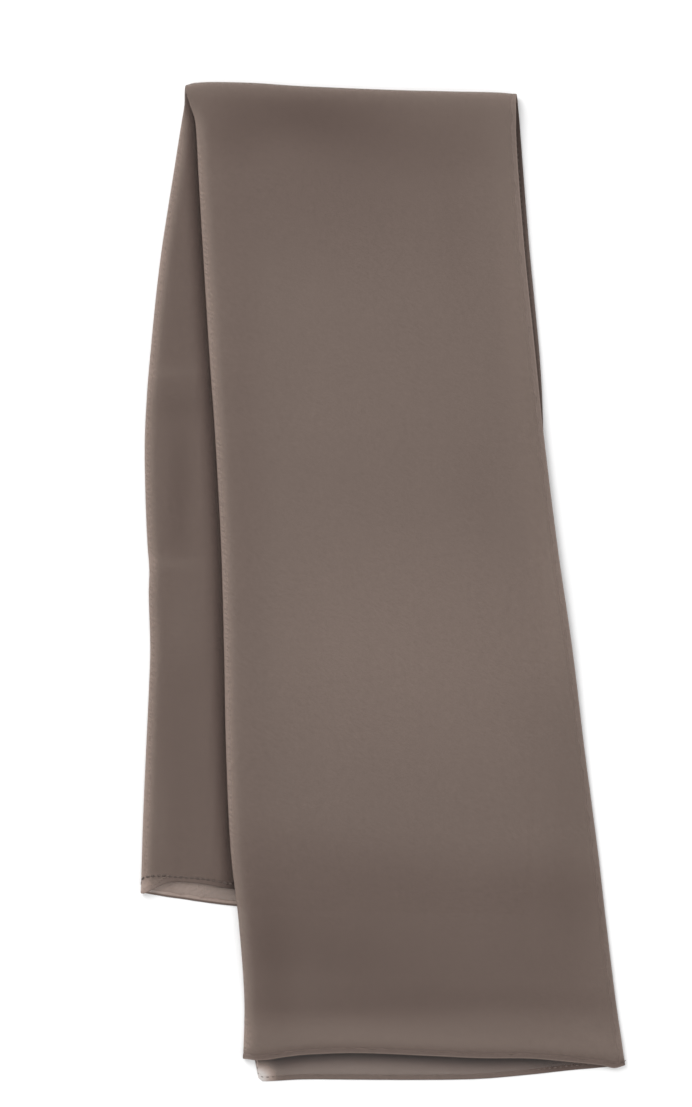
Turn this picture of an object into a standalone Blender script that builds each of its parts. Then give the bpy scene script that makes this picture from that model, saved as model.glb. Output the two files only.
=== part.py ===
"""A chiffon scarf, folded in half lengthwise and then laid over itself crosswise.

The scarf lies flat on the XY plane with its crosswise fold at +Y. It is one rectangle of cloth,
turned once along its left side, so every stretch has an outer and an inner layer:

    the front run lies on top and shows its outer layer,
    the top fold carries both layers round to the other side,
    the back run lies underneath and shows its inner layer along the left.

Every piece is a grid across the cut, bent to its folded place and thickened to a cloth wall.
Lengths in the tables are in millimetres, and everything else is in metres.
"""

import math
from collections import namedtuple

import bmesh
import bpy

MM = 0.001

# The cut and its walls
CLOTH_WIDTH = 750 * MM
HALF_WIDTH = CLOTH_WIDTH / 2
WALL = 1.1 * MM
HEM_WIDTH = 6.0 * MM
HEM_WALL = 1.4 * MM
SEAM = 0.4 * MM
EDGE = HEM_WIDTH + SEAM

# How the layers lie
LAYER_PITCH = 2.2 * MM
RUN_PITCH = 1.8 * MM
BACK_OUTER_SHORT = 6.0 * MM
FRONT_INNER_SHORT = 3.0 * MM
LAYERS_SLIP_OVER = 90 * MM

# The lengthwise fold: a soft roll, tight beside the top fold and full further down
ROLL_HEIGHT_TIGHT = LAYER_PITCH
ROLL_WIDTH_TO_HEIGHT = 0.75
ROLL_FILLS_OVER = 110 * MM

# The crosswise fold at the top
TURN_REACH_OUTER = 8.4 * MM
TURN_REACH_INNER = 6.2 * MM
CREST_FALLS_OVER = 75 * MM
CREST_SETTLES_OVER = 210 * MM
CREST_SETTLES_SHARE = 0.5

# Where the front run comes down off the back run
STEP_DOWN_AT = 822 * MM
STEP_DOWN_OVER = 92 * MM
SIDE_STEP_AT = 14 * MM
SIDE_STEP_OVER = 46 * MM

# The open mouth at the foot of the front run
MOUTH_LIFT = 3.5 * MM
MOUTH_LENGTH = 48 * MM

# Y of the top of the crosswise fold, with the origin at the middle of the scarf
TOP_Y = 488.2 * MM

Roll = namedtuple("Roll", "round_height crown_height crown_at settles_over")
Outline = namedtuple("Outline", "down left right")
Foot = namedtuple("Foot", "across outer inner")
Crest = namedtuple("Crest", "across down rise")
Ridge = namedtuple("Ridge", "down half_length height")

# Each run's roll: the height of its round edge, then its crown and how far in from the edge that is,
# and how far past the crown the layers come to lie together
FRONT_ROLL = Roll(round_height=5.2, crown_height=7.2, crown_at=19, settles_over=80)
BACK_ROLL = Roll(round_height=4.2, crown_height=5.0, crown_at=9, settles_over=40)

# The sides of each run, by distance down from the top of the crosswise fold
FRONT_SIDES = (
    Outline(down=8, left=-191.7, right=128.1),
    Outline(down=27, left=-187.3, right=129.6),
    Outline(down=52, left=-183.6, right=129.6),
    Outline(down=91, left=-181.2, right=132.0),
    Outline(down=164, left=-177.0, right=137.9),
    Outline(down=262, left=-170.9, right=147.7),
    Outline(down=350, left=-164.8, right=156.5),
    Outline(down=458, left=-159.0, right=170.2),
    Outline(down=555, left=-156.3, right=184.8),
    Outline(down=653, left=-154.3, right=196.6),
    Outline(down=751, left=-149.9, right=209.3),
    Outline(down=820, left=-141.8, right=219.1),
    Outline(down=898, left=-135.9, right=226.9),
    Outline(down=962, left=-136.9, right=236.7),
)
BACK_SIDES = (
    Outline(down=8, left=-193.2, right=130.1),
    Outline(down=52, left=-199.5, right=134.0),
    Outline(down=115, left=-209.3, right=139.4),
    Outline(down=164, left=-217.1, right=143.3),
    Outline(down=262, left=-227.9, right=153.0),
    Outline(down=350, left=-233.4, right=158.9),
    Outline(down=428, left=-231.8, right=159.4),
    Outline(down=555, left=-228.2, right=155.5),
    Outline(down=653, left=-231.8, right=150.6),
    Outline(down=792, left=-236.2, right=142.8),
)

# Where each layer ends, by share of the width from the lengthwise fold
FRONT_FOOT = (
    Foot(across=0.00, outer=955.5, inner=955.5),
    Foot(across=0.04, outer=956.5, inner=960.0),
    Foot(across=0.09, outer=954.0, inner=976.0),
    Foot(across=0.15, outer=951.6, inner=975.8),
    Foot(across=0.30, outer=950.1, inner=975.0),
    Foot(across=0.48, outer=952.6, inner=975.0),
    Foot(across=0.62, outer=955.0, inner=974.0),
    Foot(across=0.75, outer=955.5, inner=970.5),
    Foot(across=0.86, outer=959.4, inner=965.8),
    Foot(across=0.94, outer=961.5, inner=963.0),
    Foot(across=1.00, outer=962.3, inner=961.0),
)
BACK_FOOT = (
    Foot(across=0.00, outer=790.5, inner=790.5),
    Foot(across=0.05, outer=796.8, inner=788.3),
    Foot(across=0.10, outer=799.5, inner=784.0),
    Foot(across=0.17, outer=803.0, inner=787.5),
    Foot(across=0.24, outer=806.3, inner=790.4),
    Foot(across=0.40, outer=809.8, inner=793.1),
    Foot(across=1.00, outer=813.7, inner=796.0),
)

# The line and height of the crosswise fold, by share of the width
TOP_CREST = (
    Crest(across=0.00, down=2.5, rise=9.5),
    Crest(across=0.07, down=0.0, rise=11.5),
    Crest(across=0.20, down=1.0, rise=13.4),
    Crest(across=0.33, down=3.9, rise=14.0),
    Crest(across=0.50, down=6.4, rise=14.0),
    Crest(across=0.66, down=8.3, rise=14.0),
    Crest(across=0.83, down=9.5, rise=13.2),
    Crest(across=0.95, down=10.3, rise=11.4),
    Crest(across=1.00, down=11.7, rise=10.4),
)

# Soft crosswise waves in the back run, which the front run rides over
BACK_RIDGES = (
    Ridge(down=292, half_length=46, height=1.3),
    Ridge(down=494, half_length=40, height=1.2),
    Ridge(down=670, half_length=70, height=0.8),
)
# The same in the front run's outer layer alone, which puffs up between its two sides
FRONT_RIDGES = (
    Ridge(down=450, half_length=400, height=3.5),
    Ridge(down=560, half_length=150, height=0.8),
)

# How finely each stretch is divided
ROLL_STEPS = 8
PANEL_STEPS = 15
FRONT_ROWS = 30
BACK_ROWS = 24
TURN_ROWS = 10
COLUMN_CROWDING = 1.35
ROW_CROWDING = 0.5

# A column of the cut. layer is 0 on the outer layer, 1 on the inner one and between them in the roll;
# share goes from the roll to the panel's edge, and past is the distance beyond it, into the hem.
Column = namedtuple("Column", "layer share past")
# A row of the cut, in one of the three stretches below.
Row = namedtuple("Row", "stretch share past")
FRONT, TURN, BACK = "front", "turn", "back"

CHIFFON = (0.190, 0.146, 0.126)
CHIFFON_BACK = (0.160, 0.119, 0.102)
HEM_TONE = (0.140, 0.106, 0.090)
ROUGHNESS = 0.75


def mix(a, b, share):
    """The value that share of the way from a to b."""
    return a + (b - a) * share


def ease(share):
    """0 to 1 as share goes from 0 to 1, level at both ends."""
    held = min(max(share, 0.0), 1.0)
    return held * held * (3 - 2 * held)


def read(table, key, value, column):
    """A smooth reading of a table's column where its key column has this value."""
    keys = [getattr(row, key) for row in table]
    values = [getattr(row, column) for row in table]
    held = min(max(value, keys[0]), keys[-1])
    after = next(i for i in range(1, len(keys)) if held <= keys[i])
    before = after - 1

    def slope(i):
        low, high = max(i - 1, 0), min(i + 1, len(keys) - 1)
        return (values[high] - values[low]) / (keys[high] - keys[low])

    span = keys[after] - keys[before]
    t = (held - keys[before]) / span
    return (
        (2 * t**3 - 3 * t**2 + 1) * values[before]
        + (t**3 - 2 * t**2 + t) * span * slope(before)
        + (3 * t**2 - 2 * t**3) * values[after]
        + (t**3 - t**2) * span * slope(after)
    )


def side(sides, down, which):
    """X of a run's left or right side at this distance down."""
    return read(sides, "down", down / MM, which) * MM


def ridges(table, down):
    """The height that a table of crosswise waves adds at this distance down."""
    reach = [(ridge, abs(down / MM - ridge.down) / ridge.half_length) for ridge in table]
    return sum(ridge.height * ease(1 - away) for ridge, away in reach) * MM


def filled_to(height, down):
    """A height of the roll, given in millimetres for where it is full, at this distance down."""
    return mix(ROLL_HEIGHT_TIGHT, height * MM, ease((down - TURN_REACH_OUTER) / ROLL_FILLS_OVER))


def roll_width(roll, down):
    """How far the roll's round edge reaches out from the flat layers."""
    return ROLL_WIDTH_TO_HEIGHT * filled_to(roll.round_height, down)


def layers_apart(roll, down, from_side):
    """The distance between a run's two layers, over the roll's crown to where they lie together."""
    edge = roll_width(roll, down)
    crown_at = roll.crown_at * MM
    risen = math.sin(min(max((from_side - edge) / (crown_at - edge), 0.0), 1.0) * math.pi / 2)
    settled = ease((from_side - crown_at) / (roll.settles_over * MM))
    crown = mix(filled_to(roll.round_height, down), filled_to(roll.crown_height, down), risen)
    return mix(crown, LAYER_PITCH, settled)


def back_inner_height(x, down):
    """Z of the middle of the back run's inner layer, which lies on its outer layer."""
    from_side = x - side(BACK_SIDES, down, "left")
    return WALL / 2 + layers_apart(BACK_ROLL, down, from_side) + ridges(BACK_RIDGES, down)


def on_back_run(x, down):
    """1 where the front run lies on the back run, falling to 0 where it lies on the table."""
    past_foot = (down - STEP_DOWN_AT) / STEP_DOWN_OVER
    past_side = (x - side(BACK_SIDES, down, "right") - SIDE_STEP_AT) / SIDE_STEP_OVER
    return (1 - ease(past_foot)) * (1 - ease(past_side))


def front_inner_height(x, down):
    """Z of the middle of the front run's inner layer, before the top fold lifts it."""
    return mix(WALL / 2, back_inner_height(x, down) + RUN_PITCH, on_back_run(x, down))


def puff(across, down, to_foot):
    """How far the front run's outer layer stands off the inner one, between its two closed sides."""
    mouth = MOUTH_LIFT * ease(1 - to_foot / MOUTH_LENGTH)
    return math.sin(math.pi * across) * (ridges(FRONT_RIDGES, down) + mouth)


def across_share(column):
    """The share of the folded width that a column lies at."""
    return (column.share * (HALF_WIDTH - EDGE) + column.past) / HALF_WIDTH


def bulge(column):
    """How far round the roll a column lies: 0 on the flat layers and 1 at the fold's outermost line."""
    return 2 * math.sqrt(max(column.layer * (1 - column.layer), 0.0))


def turn_start(across):
    """The distance down at which the crosswise fold begins to turn."""
    return read(TOP_CREST, "across", across, "down") * MM + TURN_REACH_OUTER


def place_across(sides, roll, down, column):
    """X of a column in a run, whose hidden layer stops short of its shown one away from the top fold."""
    if sides is FRONT_SIDES:
        short = FRONT_INNER_SHORT * column.layer
    else:
        short = BACK_OUTER_SHORT * (1 - column.layer)
    edge = roll_width(roll, down)
    right = side(sides, down, "right") - short * ease((down - TURN_REACH_OUTER) / LAYERS_SLIP_OVER)
    flat = mix(side(sides, down, "left") + edge, right - EDGE, column.share) + column.past
    return flat - edge * bulge(column)


def foot_at(foot, column):
    """The distance down at which a run's foot table ends this column."""
    across = across_share(column)
    outer = read(foot, "across", across, "outer")
    inner = read(foot, "across", across, "inner")
    return mix(outer, inner, column.layer) * MM


def distance_down(foot, row, column):
    """The distance down of a row in a run that ends where its foot table says."""
    start = turn_start(across_share(column)) + SEAM
    return mix(start, foot_at(foot, column) - EDGE, row.share) + row.past


def front_point(column, row):
    """The middle of the cloth at a column and row of the front run."""
    down = distance_down(FRONT_FOOT, row, column)
    x = place_across(FRONT_SIDES, FRONT_ROLL, down, column)
    across = across_share(column)
    left = side(FRONT_SIDES, down, "left")
    inner = front_inner_height(max(x, left + roll_width(FRONT_ROLL, down)), down)
    apart = layers_apart(FRONT_ROLL, down, x - left)
    apart += puff(across, down, foot_at(FRONT_FOOT, column) - down)
    crest = turn_heights(across)
    past_crest = down - turn_start(across)
    fallen = ease(past_crest / CREST_FALLS_OVER)
    settled = ease(past_crest / CREST_SETTLES_OVER)
    lifted = 1 - mix(fallen, settled, CREST_SETTLES_SHARE)
    inner = mix(inner, crest["front_inner"], lifted)
    outer = mix(inner + apart, crest["front_outer"], lifted)
    return x, TOP_Y - down, mix(outer, inner, column.layer)


def back_point(column, row):
    """The middle of the cloth at a column and row of the back run."""
    down = distance_down(BACK_FOOT, row, column)
    x = place_across(BACK_SIDES, BACK_ROLL, down, column)
    return x, TOP_Y - down, mix(WALL / 2, back_inner_height(x, down), column.layer)


def turn_heights(across):
    """Z of each layer where the crosswise fold begins and ends."""
    front_outer = read(TOP_CREST, "across", across, "rise") * MM
    return {
        "front_outer": front_outer,
        "front_inner": front_outer - ROLL_HEIGHT_TIGHT,
        "back_inner": WALL / 2 + ROLL_HEIGHT_TIGHT,
        "back_outer": WALL / 2,
    }


def turn_point(column, row):
    """The middle of the cloth at a column and row of the crosswise fold, which is half an ellipse."""
    across = across_share(column)
    start = turn_start(across)
    crest = turn_heights(across)
    angle = math.pi * row.share
    reach = mix(TURN_REACH_OUTER, TURN_REACH_INNER, column.layer)
    high = mix(crest["front_outer"], crest["front_inner"], column.layer)
    low = mix(crest["back_outer"], crest["back_inner"], column.layer)
    front_x = place_across(FRONT_SIDES, FRONT_ROLL, start, column)
    back_x = place_across(BACK_SIDES, BACK_ROLL, start, column)
    x = mix(front_x, back_x, ease(row.share))
    y = TOP_Y - start + reach * math.sin(angle)
    z = (high + low) / 2 + (high - low) / 2 * math.cos(angle)
    return x, y, z


PLACE = {FRONT: front_point, TURN: turn_point, BACK: back_point}


def panel_columns():
    """The columns of a panel, from the inner layer's edge, round the roll, to the outer layer's edge."""
    inner = [Column(1.0, (i / PANEL_STEPS) ** COLUMN_CROWDING, 0.0) for i in range(PANEL_STEPS, 0, -1)]
    turns = [math.pi * i / ROLL_STEPS for i in range(ROLL_STEPS + 1)]
    roll = [Column((1 + math.cos(angle)) / 2, 0.0, 0.0) for angle in turns]
    outer = [Column(0.0, (i / PANEL_STEPS) ** COLUMN_CROWDING, 0.0) for i in range(1, PANEL_STEPS + 1)]
    return inner + roll + outer


def run_rows(stretch, count):
    """The rows of a run from its top to its foot, closer together near both."""
    even = [i / count for i in range(count + 1)]
    return [Row(stretch, mix(s, (1 - math.cos(math.pi * s)) / 2, ROW_CROWDING), 0.0) for s in even]


def turn_rows():
    """The rows of the crosswise fold, from the front run to the back run."""
    return [Row(TURN, i / TURN_ROWS, 0.0) for i in range(TURN_ROWS + 1)]


def foot_hem_rows(stretch):
    """The two rows of the narrow hem at a run's foot."""
    return [Row(stretch, 1.0, SEAM), Row(stretch, 1.0, EDGE)]


def finish(name, tone):
    """A matte cloth finish for one sub-part."""
    material = bpy.data.materials.new(name)
    material.use_nodes = True
    shader = material.node_tree.nodes["Principled BSDF"]
    shader.inputs["Base Color"].default_value = (*tone, 1.0)
    shader.inputs["Roughness"].default_value = ROUGHNESS
    shader.inputs["Metallic"].default_value = 0.0
    return material


def stretch_of_cloth(name, columns, rows, wall, tone, collection):
    """One sub-part: a grid of columns and rows, bent to its place and thickened to a wall.

    The wall stands half a panel's thickness proud of the middle on the side that faces out of the fold,
    and what is left of it goes to the side that faces in.
    """
    cloth = bmesh.new()
    bmesh.ops.create_grid(cloth, x_segments=len(columns) - 1, y_segments=len(rows) - 1, size=0.5)
    for vert in cloth.verts:
        column = columns[round((vert.co.x + 0.5) * (len(columns) - 1))]
        row = rows[round((vert.co.y + 0.5) * (len(rows) - 1))]
        vert.co = PLACE[row.stretch](column, row)
    mesh = bpy.data.meshes.new(name)
    cloth.to_mesh(mesh)
    cloth.free()
    mesh.shade_smooth()
    mesh.materials.append(finish(name, tone))
    part = bpy.data.objects.new(name, mesh)
    thicken = part.modifiers.new("wall", "SOLIDIFY")
    thicken.thickness = wall
    thicken.offset = WALL / wall - 1
    collection.objects.link(part)
    return part


def build():
    """Makes the scarf's panels, its crosswise fold and its four hems."""
    for obj in list(bpy.data.objects):
        bpy.data.objects.remove(obj)
    scarf = bpy.data.collections.new("chiffon_scarf")
    bpy.context.scene.collection.children.link(scarf)

    columns = panel_columns()
    front = run_rows(FRONT, FRONT_ROWS)[::-1]
    back = run_rows(BACK, BACK_ROWS)
    stretch_of_cloth("front_run", columns, front, WALL, CHIFFON, scarf)
    stretch_of_cloth("top_fold", columns, turn_rows(), WALL, CHIFFON, scarf)
    stretch_of_cloth("back_run", columns, back, WALL, CHIFFON_BACK, scarf)

    whole_length = front + turn_rows() + back
    outer_hem = [Column(0.0, 1.0, SEAM), Column(0.0, 1.0, EDGE)]
    inner_hem = [Column(1.0, 1.0, EDGE), Column(1.0, 1.0, SEAM)]
    stretch_of_cloth("outer_long_hem", outer_hem, whole_length, HEM_WALL, HEM_TONE, scarf)
    stretch_of_cloth("inner_long_hem", inner_hem, whole_length, HEM_WALL, HEM_TONE, scarf)

    whole_width = [Column(1.0, 1.0, EDGE), *columns, Column(0.0, 1.0, EDGE)]
    front_foot = foot_hem_rows(FRONT)[::-1]
    stretch_of_cloth("front_foot_hem", whole_width, front_foot, HEM_WALL, HEM_TONE, scarf)
    stretch_of_cloth("back_foot_hem", whole_width, foot_hem_rows(BACK), HEM_WALL, HEM_TONE, scarf)


build()
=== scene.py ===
"""The looks of a folded chiffon scarf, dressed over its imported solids.

The scarf is one rectangle of sheer cloth with a narrow stitched hem on all four sides. It is folded in
half lengthwise, with the soft roll at -X and the hemmed long edges at +X, and then laid over itself
crosswise, with the fold at +Y. The front run lies on the back run, which is swung towards -X.

A place on the cut is a column (which layer, and how far from the lengthwise fold) and a row (which
stretch, and how far along it). FoldedLay bends the two to a point in the row frame, and every piece is
made from it: the cloth, the hem bands and the lines of stitches. Lengths in the tables are in
millimetres, and everything else is in metres.
"""

import logging
import math
from collections.abc import Callable, Mapping, Sequence
from dataclasses import dataclass, field
from enum import Enum
from typing import NamedTuple

import bmesh
import bpy
import numpy as np
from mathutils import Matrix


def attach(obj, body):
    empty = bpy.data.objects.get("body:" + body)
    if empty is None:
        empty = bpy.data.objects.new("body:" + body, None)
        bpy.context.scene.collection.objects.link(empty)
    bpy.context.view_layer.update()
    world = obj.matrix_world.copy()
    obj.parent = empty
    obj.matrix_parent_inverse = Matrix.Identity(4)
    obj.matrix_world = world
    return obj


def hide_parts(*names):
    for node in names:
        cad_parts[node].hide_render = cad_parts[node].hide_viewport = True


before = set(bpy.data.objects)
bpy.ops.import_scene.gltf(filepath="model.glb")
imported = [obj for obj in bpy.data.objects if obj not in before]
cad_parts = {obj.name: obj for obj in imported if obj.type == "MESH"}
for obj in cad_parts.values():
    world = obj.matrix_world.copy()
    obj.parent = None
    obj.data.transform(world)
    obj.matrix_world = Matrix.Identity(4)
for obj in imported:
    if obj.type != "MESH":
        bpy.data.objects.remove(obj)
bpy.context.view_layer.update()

log = logging.getLogger("chiffon_scarf")

MM = 0.001
# The name of the mesh attribute that holds the light and shade painted into the cloth's colour
TONE = "tone"
CUT_UV = "cut"
FACE_UP = "face_up"
# The scale at which a wave texture has about one band to a unit
ONE_BAND_TO_A_UNIT = 0.31

Values = float | np.ndarray


class Stretch(Enum):
    """A stretch of the scarf's length."""

    FRONT = "front run"
    TURN = "crosswise fold"
    BACK = "back run"


class Layer(Enum):
    """One of the two layers that the lengthwise fold makes, by its number in the columns."""

    OUTER = 0.0
    INNER = 1.0


class Roll(NamedTuple):
    """A run's lengthwise fold: its round edge, then its crown and how the layers settle past it."""

    round_height: float
    crown_height: float
    crown_at: float
    settles_over: float


class Outline(NamedTuple):
    """A run's left and right side at a distance down from the top."""

    down: float
    left: float
    right: float


class Foot(NamedTuple):
    """Where each layer ends, at a share of the width from the lengthwise fold."""

    across: float
    outer: float
    inner: float


class Rise(NamedTuple):
    """How far up from its usual place a foot's sewn line lies, at a share of the width."""

    across: float
    up: float


class Crest(NamedTuple):
    """The line and height of the crosswise fold, at a share of the width."""

    across: float
    down: float
    rise: float


class Ridge(NamedTuple):
    """A soft crosswise wave, by its middle line, half its length along the run, and its height."""

    down: float
    half_length: float
    height: float


class Crease(NamedTuple):
    """A soft ridge or trough, and the light or shade painted with it: how much paler or deeper the colour is
    made in it.

    Its place is its middle, its line's angle from +X and its half sizes. A height or a shade of 0 leaves
    the form or the colour as it is.
    """

    x: float
    down: float
    angle: float
    half_length: float
    half_width: float
    height: float = 0.0
    shade: float = 0.0


class HemTones(NamedTuple):
    """The painted light and shade on a hem: how deep its colour reads along its sewn line, in its middle and
    along its outer edge.

    The edge's tone begins at a share of the way across the hem.
    """

    seam: float = 1.0
    middle: float = 1.0
    edge: float = 1.0
    edge_from: float = 0.72


class Fade(NamedTuple):
    """A change of tone along a line: how strong it is there, and how far off it has gone."""

    strength: float
    reach: float

    def at(self, away: np.ndarray) -> np.ndarray:
        """The tone's factor at these distances from the line, in metres."""
        return 1 + self.strength * (1 - ease(away / MM / self.reach))


FRONT_ROLL = Roll(round_height=5.2, crown_height=7.2, crown_at=19, settles_over=80)
BACK_ROLL = Roll(round_height=4.2, crown_height=5.0, crown_at=9, settles_over=40)

FRONT_SIDES = (
    Outline(down=8, left=-194.0, right=127.9),
    Outline(down=16, left=-191.8, right=128.6),
    Outline(down=27, left=-188.0, right=129.0),
    Outline(down=36, left=-185.0, right=129.0),
    Outline(down=52, left=-183.2, right=129.1),
    Outline(down=91, left=-181.2, right=131.5),
    Outline(down=164, left=-177.0, right=137.5),
    Outline(down=262, left=-170.9, right=147.7),
    Outline(down=350, left=-164.8, right=156.8),
    Outline(down=458, left=-159.0, right=170.2),
    Outline(down=555, left=-156.3, right=184.4),
    Outline(down=653, left=-154.3, right=196.4),
    Outline(down=751, left=-149.9, right=209.3),
    Outline(down=820, left=-142.2, right=217.3),
    Outline(down=898, left=-136.7, right=226.9),
    Outline(down=962, left=-138.0, right=236.2),
)
BACK_SIDES = (
    Outline(down=8, left=-195.2, right=130.1),
    Outline(down=21, left=-195.4, right=131.2),
    Outline(down=36, left=-197.7, right=132.6),
    Outline(down=52, left=-200.3, right=133.8),
    Outline(down=85, left=-205.4, right=136.3),
    Outline(down=115, left=-210.2, right=138.6),
    Outline(down=164, left=-217.7, right=142.6),
    Outline(down=207, left=-223.0, right=146.8),
    Outline(down=262, left=-228.4, right=152.0),
    Outline(down=305, left=-232.0, right=154.8),
    Outline(down=350, left=-234.2, right=156.3),
    Outline(down=403, left=-233.6, right=156.8),
    Outline(down=452, left=-231.6, right=156.4),
    Outline(down=477, left=-229.7, right=156.0),
    Outline(down=501, left=-230.3, right=155.6),
    Outline(down=555, left=-228.9, right=154.2),
    Outline(down=599, left=-230.4, right=152.4),
    Outline(down=653, left=-232.9, right=150.0),
    Outline(down=721, left=-235.9, right=146.6),
    Outline(down=792, left=-238.0, right=142.8),
)

FRONT_FOOT = (
    Foot(across=0.000, outer=955.8, inner=955.8),
    Foot(across=0.020, outer=956.6, inner=957.0),
    Foot(across=0.030, outer=956.6, inner=975.6),
    Foot(across=0.045, outer=956.4, inner=978.3),
    Foot(across=0.065, outer=955.6, inner=978.3),
    Foot(across=0.090, outer=954.0, inner=977.8),
    Foot(across=0.150, outer=951.6, inner=976.7),
    Foot(across=0.300, outer=950.1, inner=977.0),
    Foot(across=0.480, outer=952.6, inner=977.2),
    Foot(across=0.620, outer=955.0, inner=976.2),
    Foot(across=0.750, outer=955.5, inner=972.2),
    Foot(across=0.860, outer=959.2, inner=967.8),
    Foot(across=0.940, outer=962.6, inner=965.2),
    Foot(across=0.972, outer=965.2, inner=964.0),
    Foot(across=1.000, outer=962.4, inner=961.8),
)
BACK_FOOT = (
    Foot(across=0.000, outer=794.0, inner=794.0),
    Foot(across=0.018, outer=795.3, inner=790.8),
    Foot(across=0.032, outer=796.1, inner=788.2),
    Foot(across=0.046, outer=797.0, inner=785.4),
    Foot(across=0.060, outer=797.8, inner=783.2),
    Foot(across=0.080, outer=798.9, inner=782.4),
    Foot(across=0.105, outer=800.1, inner=782.9),
    Foot(across=0.150, outer=802.7, inner=784.6),
    Foot(across=0.225, outer=806.2, inner=789.4),
    Foot(across=0.400, outer=811.0, inner=794.6),
    Foot(across=1.000, outer=814.9, inner=797.5),
)

# The back foot's sewn line on its shown layer, which runs on straight where the edge curls at the fold
BACK_SEAM_RISES = (
    Rise(across=0.000, up=11.5),
    Rise(across=0.011, up=10.6),
    Rise(across=0.043, up=5.4),
    Rise(across=0.067, up=1.2),
    Rise(across=0.100, up=0.2),
    Rise(across=0.150, up=0.7),
    Rise(across=1.000, up=0.0),
)

TOP_CREST = (
    Crest(across=0.00, down=2.6, rise=9.5),
    Crest(across=0.02, down=0.9, rise=10.2),
    Crest(across=0.07, down=0.0, rise=11.5),
    Crest(across=0.20, down=1.0, rise=13.4),
    Crest(across=0.33, down=3.9, rise=14.0),
    Crest(across=0.50, down=6.4, rise=14.0),
    Crest(across=0.66, down=8.3, rise=14.0),
    Crest(across=0.83, down=9.5, rise=13.2),
    Crest(across=0.95, down=10.3, rise=11.4),
    Crest(across=1.00, down=11.7, rise=10.4),
)

BACK_RIDGES = (
    Ridge(down=292, half_length=46, height=1.3),
    Ridge(down=494, half_length=40, height=1.2),
    Ridge(down=670, half_length=70, height=0.8),
)
FRONT_RIDGES = (
    Ridge(down=450, half_length=400, height=3.5),
    Ridge(down=560, half_length=150, height=0.8),
)

# The fine relief of the front run's shown layer, and the light and shade painted on it: the pale crest and
# the hollow below it, the ridge down the right, the drag lines from the corners, the step down to the table,
# the press line and the waves between
FRONT_CREASES = (
    Crease(x=0, down=4, angle=-2, half_length=900, half_width=24, shade=0.18),
    Crease(x=-95, down=30, angle=-4, half_length=150, half_width=46, height=-0.6, shade=-0.22),
    Crease(x=-150, down=58, angle=-4, half_length=60, half_width=40, shade=-0.10),
    Crease(x=10, down=50, angle=-4, half_length=190, half_width=66, height=-0.5, shade=-0.11),
    Crease(x=-60, down=90, angle=-3, half_length=240, half_width=130, shade=-0.14),
    Crease(x=108, down=150, angle=-87, half_length=150, half_width=24, height=0.9),
    Crease(x=72, down=150, angle=-86, half_length=150, half_width=26, height=-0.5, shade=-0.03),
    Crease(x=126, down=180, angle=-86, half_length=300, half_width=26, shade=0.09),
    Crease(x=162, down=470, angle=-83, half_length=170, half_width=34, height=0.3, shade=0.08),
    Crease(x=222, down=860, angle=-83, half_length=120, half_width=36, shade=0.05),
    Crease(x=-140, down=420, angle=-88, half_length=620, half_width=44, shade=-0.11),
    Crease(x=-120, down=80, angle=-58, half_length=90, half_width=18, height=0.5),
    Crease(x=-30, down=330, angle=8, half_length=170, half_width=46, height=0.4, shade=0.02),
    Crease(x=92, down=400, angle=-80, half_length=90, half_width=34, height=-0.5, shade=-0.03),
    Crease(x=30, down=560, angle=-4, half_length=300, half_width=170, height=0.5, shade=0.13),
    Crease(x=120, down=640, angle=-16, half_length=130, half_width=36, height=-0.4),
    Crease(x=168, down=660, angle=-82, half_length=150, half_width=56, shade=-0.06),
    Crease(x=0, down=712, angle=3, half_length=170, half_width=30, height=0.4),
    Crease(x=0, down=790, angle=-8, half_length=400, half_width=74, height=-0.4, shade=-0.19),
    Crease(x=-70, down=850, angle=-10, half_length=190, half_width=72, height=-0.4, shade=-0.22),
    Crease(x=120, down=876, angle=0, half_length=260, half_width=72, shade=-0.17),
    Crease(x=-112, down=868, angle=-88, half_length=120, half_width=40, shade=-0.13),
    Crease(x=180, down=790, angle=-8, half_length=110, half_width=60, shade=-0.11),
    Crease(x=30, down=900, angle=-1, half_length=700, half_width=24, height=-0.5, shade=-0.10),
    Crease(x=-60, down=911, angle=-1, half_length=180, half_width=18, height=-0.5, shade=-0.11),
    Crease(x=30, down=938, angle=-1, half_length=900, half_width=16, height=0.3, shade=0.05),
    Crease(x=208, down=936, angle=-40, half_length=44, half_width=11, height=0.5, shade=0.05),
)
# The same on the back run, relief and painted light and shade, with the crosswise fold lines that show on its
# strip at the left
BACK_CREASES = (
    Crease(x=-222, down=168, angle=98, half_length=70, half_width=18, height=0.3, shade=0.10),
    Crease(x=-208, down=284, angle=3, half_length=52, half_width=9, height=0.55, shade=0.14),
    Crease(x=-204, down=318, angle=4, half_length=60, half_width=20, height=-0.35, shade=-0.07),
    Crease(x=-200, down=398, angle=88, half_length=100, half_width=17, height=-0.3, shade=-0.14),
    Crease(x=-212, down=470, angle=-4, half_length=46, half_width=9, height=0.5, shade=0.18),
    Crease(x=-196, down=522, angle=86, half_length=80, half_width=34, height=0.3, shade=0.11),
    Crease(x=-222, down=380, angle=90, half_length=300, half_width=12, shade=0.06),
    Crease(x=-226, down=720, angle=92, half_length=110, half_width=26, height=0.35, shade=0.15),
    Crease(x=-230, down=787, angle=0, half_length=24, half_width=13, shade=0.50),
    Crease(x=-150, down=792, angle=0, half_length=40, half_width=26, shade=-0.24),
    Crease(x=133, down=50, angle=-86, half_length=120, half_width=11, shade=-0.40),
    Crease(x=-60, down=390, angle=-20, half_length=150, half_width=30, height=0.35),
    Crease(x=20, down=600, angle=14, half_length=150, half_width=28, height=-0.3),
    Crease(x=60, down=760, angle=-8, half_length=150, half_width=30, height=0.3),
)

# Painted shade: the back run's colour is made deeper than the front run's, for the shade that it lies in
BACK_PAINTED_SHADE = 0.8
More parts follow.
